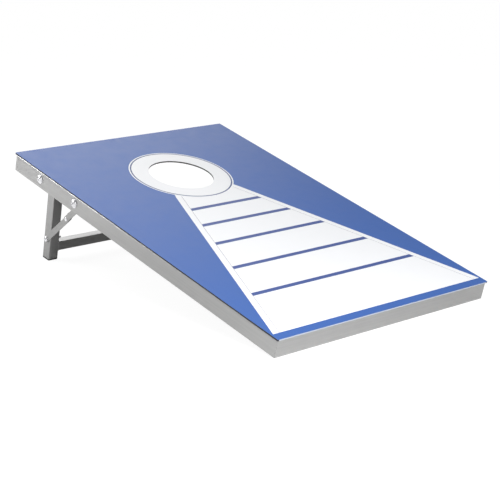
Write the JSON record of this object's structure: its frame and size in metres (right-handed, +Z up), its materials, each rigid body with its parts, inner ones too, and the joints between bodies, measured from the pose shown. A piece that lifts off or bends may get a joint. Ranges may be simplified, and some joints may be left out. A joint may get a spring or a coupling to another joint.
{
  "type": "folding cornhole board",
  "caption": "Tilted bag-toss board: printed deck with a round bag hole on a mitred tube frame, propped by fold-down back legs joined by a crossbar and held by jointed locking stays.",
  "frame": {"origin": "on the ground under the middle of the open board, the middle of its bounding box", "axes": "+Z up, +Y towards the raised back edge and the bag hole, +X to the right for a player at the low front edge"},
  "size_m": [0.615, 0.8974, 0.2463],
  "materials": {
    "deck_print": "satin printed film, blue field with a white ring and a white striped lane",
    "deck_board": "dark sealed fibreboard edge",
    "aluminium_tube": "satin, lengthwise drawn lines",
    "zinc_steel": "bright zinc plate",
    "black_plastic": "fine moulded texture",
    "nylon": "smooth natural nylon",
    "foam_tape": "matte closed-cell foam"
  },
  "bodies": {
    "board": {"back_rail": "aluminium_tube", "corner_key_back_left": "black_plastic", "corner_key_back_right": "black_plastic", "corner_key_front_left": "black_plastic", "corner_key_front_right": "black_plastic", "cross_rail": "aluminium_tube", "cross_rail_bracket_left": "aluminium_tube", "cross_rail_bracket_right": "aluminium_tube", "cross_rail_rivet_left": "zinc_steel", "cross_rail_rivet_right": "zinc_steel", "deck_panel": "deck_board", "deck_print": "deck_print", "deck_tape_back": "foam_tape", "deck_tape_front": "foam_tape", "deck_tape_left": "foam_tape", "deck_tape_middle": "foam_tape", "deck_tape_right": "foam_tape", "front_rail": "aluminium_tube", "left_rail": "aluminium_tube", "leg_pivot_bolt_left": "zinc_steel", "leg_pivot_bolt_right": "zinc_steel", "leg_pivot_inner_washer_left": "zinc_steel", "leg_pivot_inner_washer_right": "zinc_steel", "leg_pivot_nut_left": "zinc_steel", "leg_pivot_nut_right": "zinc_steel", "leg_pivot_spacer_left": "nylon", "leg_pivot_spacer_right": "nylon", "leg_pivot_washer_left": "zinc_steel", "leg_pivot_washer_right": "zinc_steel", "right_rail": "aluminium_tube", "stay_rail_rivet_left": "zinc_steel", "stay_rail_rivet_right": "zinc_steel", "stay_rail_spacer_left": "nylon", "stay_rail_spacer_right": "nylon", "stay_rail_washer_left": "zinc_steel", "stay_rail_washer_right": "zinc_steel"},
    "leg_frame": {"foot_cap_left": "black_plastic", "foot_cap_right": "black_plastic", "leg_crossbar": "aluminium_tube", "leg_top_plug_left": "black_plastic", "leg_top_plug_right": "black_plastic", "leg_tube_left": "aluminium_tube", "leg_tube_right": "aluminium_tube", "stay_leg_bolt_left": "zinc_steel", "stay_leg_bolt_right": "zinc_steel", "stay_leg_nut_left": "zinc_steel", "stay_leg_nut_right": "zinc_steel", "stay_leg_washer_left": "nylon", "stay_leg_washer_right": "nylon"},
    "upper_link_left": {"knee_rivet_head_left": "zinc_steel", "stay_upper_link_left": "aluminium_tube"},
    "upper_link_right": {"knee_rivet_head_right": "zinc_steel", "stay_upper_link_right": "aluminium_tube"},
    "lower_link_left": {"knee_rivet_tail_left": "zinc_steel", "stay_lower_link_left": "aluminium_tube"},
    "lower_link_right": {"knee_rivet_tail_right": "zinc_steel", "stay_lower_link_right": "aluminium_tube"}
  },
  "joints": [
    {"name": "leg_fold", "type": "hinge", "parent": "board", "child": "leg_frame", "pos_m": [0, 0.34551, 0.20152], "axis": [-1, 0, 0], "range_deg": [0, 87]},
    {"name": "stay_upper_fold_left", "type": "hinge", "parent": "board", "child": "upper_link_left", "pos_m": [-0.2749, 0.21397, 0.17115], "axis": [1, 0, 0], "range_deg": [0, 50.1]},
    {"name": "stay_lower_fold_left", "type": "hinge", "parent": "leg_frame", "child": "lower_link_left", "pos_m": [-0.2721, 0.3719, 0.05183], "axis": [-1, 0, 0], "range_deg": [0, 42.95]},
    {"name": "stay_upper_fold_right", "type": "hinge", "parent": "board", "child": "upper_link_right", "pos_m": [0.2749, 0.21397, 0.17115], "axis": [1, 0, 0], "range_deg": [0, 50.1]},
    {"name": "stay_lower_fold_right", "type": "hinge", "parent": "leg_frame", "child": "lower_link_right", "pos_m": [0.2721, 0.3719, 0.05183], "axis": [-1, 0, 0], "range_deg": [0, 42.95]}
  ],
  "couplings": [
    {"joint": "stay_upper_fold_left", "follows": "leg_fold", "ratio": 0.57554},
    {"joint": "stay_lower_fold_left", "follows": "leg_fold", "ratio": 0.49343},
    {"joint": "stay_upper_fold_right", "follows": "leg_fold", "ratio": 0.57554},
    {"joint": "stay_lower_fold_right", "follows": "leg_fold", "ratio": 0.49343}
  ]
}
